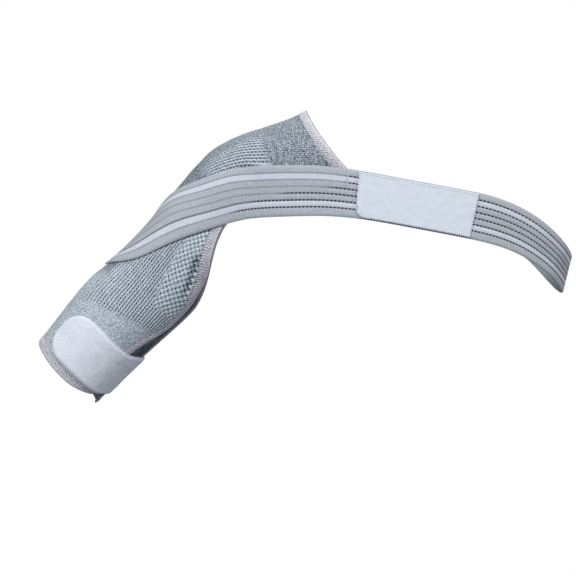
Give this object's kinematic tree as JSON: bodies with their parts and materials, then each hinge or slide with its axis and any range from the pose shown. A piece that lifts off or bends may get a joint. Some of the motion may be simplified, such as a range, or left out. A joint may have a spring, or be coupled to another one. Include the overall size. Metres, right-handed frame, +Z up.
{
  "type": "shoulder brace",
  "caption": "Knitted shoulder and upper-arm sleeve with bound edges, a striped elastic chest strap with a hook-and-loop patch, and a padded arm tab",
  "frame": {"origin": "inside of the sleeve, on top of the shoulder, where the brace sits on the wearer", "axes": "+Z up, -Y to the wearer's front, +X from the covered shoulder to the far side of the chest"},
  "size_m": [0.5862, 0.1956, 0.3211],
  "materials": {
    "knit": "blue-grey elastic knit, speckled, ribbed and honeycombed",
    "binding": "mauve-grey sewn binding",
    "webbing": "grey elastic webbing with pale stripes and dark ladder lines",
    "patch": "pale lavender brushed loop fabric",
    "fleece": "pale lavender fleece"
  },
  "bodies": {
    "root": {"knit_sleeve": "knit", "neck_binding": "binding", "hem_binding": "binding", "front_binding": "binding", "back_binding": "binding", "chest_strap": "webbing", "closure_patch": "patch", "arm_tab": "fleece"}
  },
  "joints": []
}
